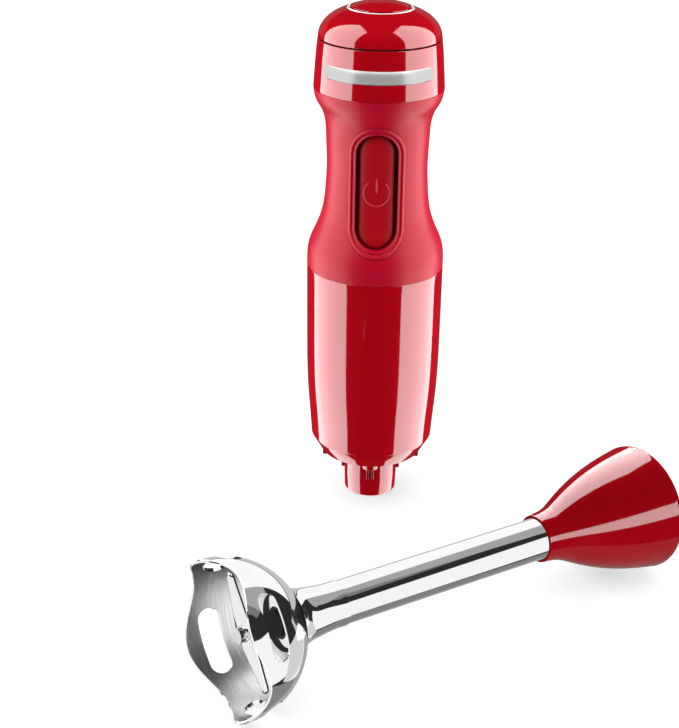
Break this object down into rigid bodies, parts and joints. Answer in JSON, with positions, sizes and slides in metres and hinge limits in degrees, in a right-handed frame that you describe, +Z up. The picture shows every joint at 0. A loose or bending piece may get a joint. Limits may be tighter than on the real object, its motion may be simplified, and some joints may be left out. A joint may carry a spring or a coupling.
{
  "type": "immersion blender",
  "caption": "Immersion blender: upright motor unit with waisted grip, pill power button and speed dial, beside its detached steel blending arm with bell guard and blade.",
  "frame": {"origin": "centre of the end face of the motor unit's coupling spigot, which stands on the table", "axes": "+Z up along the motor unit's axis, from the spigot to the dial; -Y is the side of the power button; the blending arm lies in front, on the -Y side"},
  "size_m": [0.2021, 0.2309, 0.2303],
  "materials": {
    "gloss_red": "glossy",
    "satin_red": "satin",
    "button_red": "satin",
    "chrome": "polished",
    "polished_steel": "polished",
    "black_plastic": "matte",
    "dark_rubber": "matte",
    "motor_steel": "satin",
    "bright_steel": "ground",
    "copper_winding": "enamelled",
    "brass": "satin",
    "bronze": "satin",
    "carbon": "matte",
    "board_green": "satin",
    "grey_plastic": "matte"
  },
  "bodies": {
    "motor_unit": {"coupling_base": "gloss_red", "lower_shell": "gloss_red", "grip_shell": "satin_red", "button_bezel": "satin_red", "button_spring": "bright_steel", "micro_switch": "black_plastic", "switch_carrier": "black_plastic", "band_ring": "gloss_red", "badge_plate": "chrome", "cord_gland": "dark_rubber", "speed_selector": "black_plastic", "stator_core": "motor_steel", "field_coils": "copper_winding", "lower_bracket": "black_plastic", "upper_bracket": "black_plastic", "lower_bearing": "bright_steel", "upper_bearing": "bronze", "brushes": "carbon", "brush_holders": "brass", "brush_springs": "bright_steel", "motor_screws": "bright_steel", "motor_mount_ring": "dark_rubber", "circuit_board": "board_green", "board_components": "grey_plastic"},
    "power_button": {"power_button": "button_red"},
    "speed_dial": {"speed_dial": "gloss_red", "dial_trim_ring": "chrome", "dial_cap": "gloss_red"},
    "armature": {"motor_shaft": "bright_steel", "drive_coupling": "black_plastic", "armature_core": "motor_steel", "armature_windings": "copper_winding", "commutator": "brass", "cooling_fan": "black_plastic"},
    "blending_arm": {"bell_guard": "polished_steel", "bell_neck": "polished_steel", "lower_bushing": "bronze", "shaft_seal": "dark_rubber", "arm_tube": "chrome", "arm_collar": "gloss_red", "socket_insert": "black_plastic", "upper_bushing": "bronze"},
    "blade_rotor": {"drive_shaft": "bright_steel", "shaft_coupling": "black_plastic", "blade": "bright_steel", "blade_nut": "bright_steel", "blade_spacer": "bright_steel"}
  },
  "joints": [
    {"name": "button_press", "type": "slide", "parent": "motor_unit", "child": "power_button", "axis": [0, 1, 0], "range_m": [0, 0.0025], "stiffness_N_per_m": 1200, "deforming": ["button_spring"]},
    {"name": "dial_turn", "type": "hinge", "parent": "motor_unit", "child": "speed_dial", "pos_m": [0, 0, 0.2155], "axis": [0, 0, 1], "range_deg": [0, 45]},
    {"name": "motor_spin", "type": "hinge", "parent": "motor_unit", "child": "armature", "pos_m": [0, 0, 0.075], "axis": [0, 0, 1], "continuous": true},
    {"name": "arm_slide", "type": "slide", "parent": "motor_unit", "child": "blending_arm", "axis": [-0.8281, -0.5606, 0], "range_m": [0, 0.06]},
    {"name": "blade_spin", "type": "hinge", "parent": "blending_arm", "child": "blade_rotor", "pos_m": [0.03049, -0.11945, 0.02888], "axis": [0.8279, 0.5605, -0.0212], "continuous": true}
  ]
}
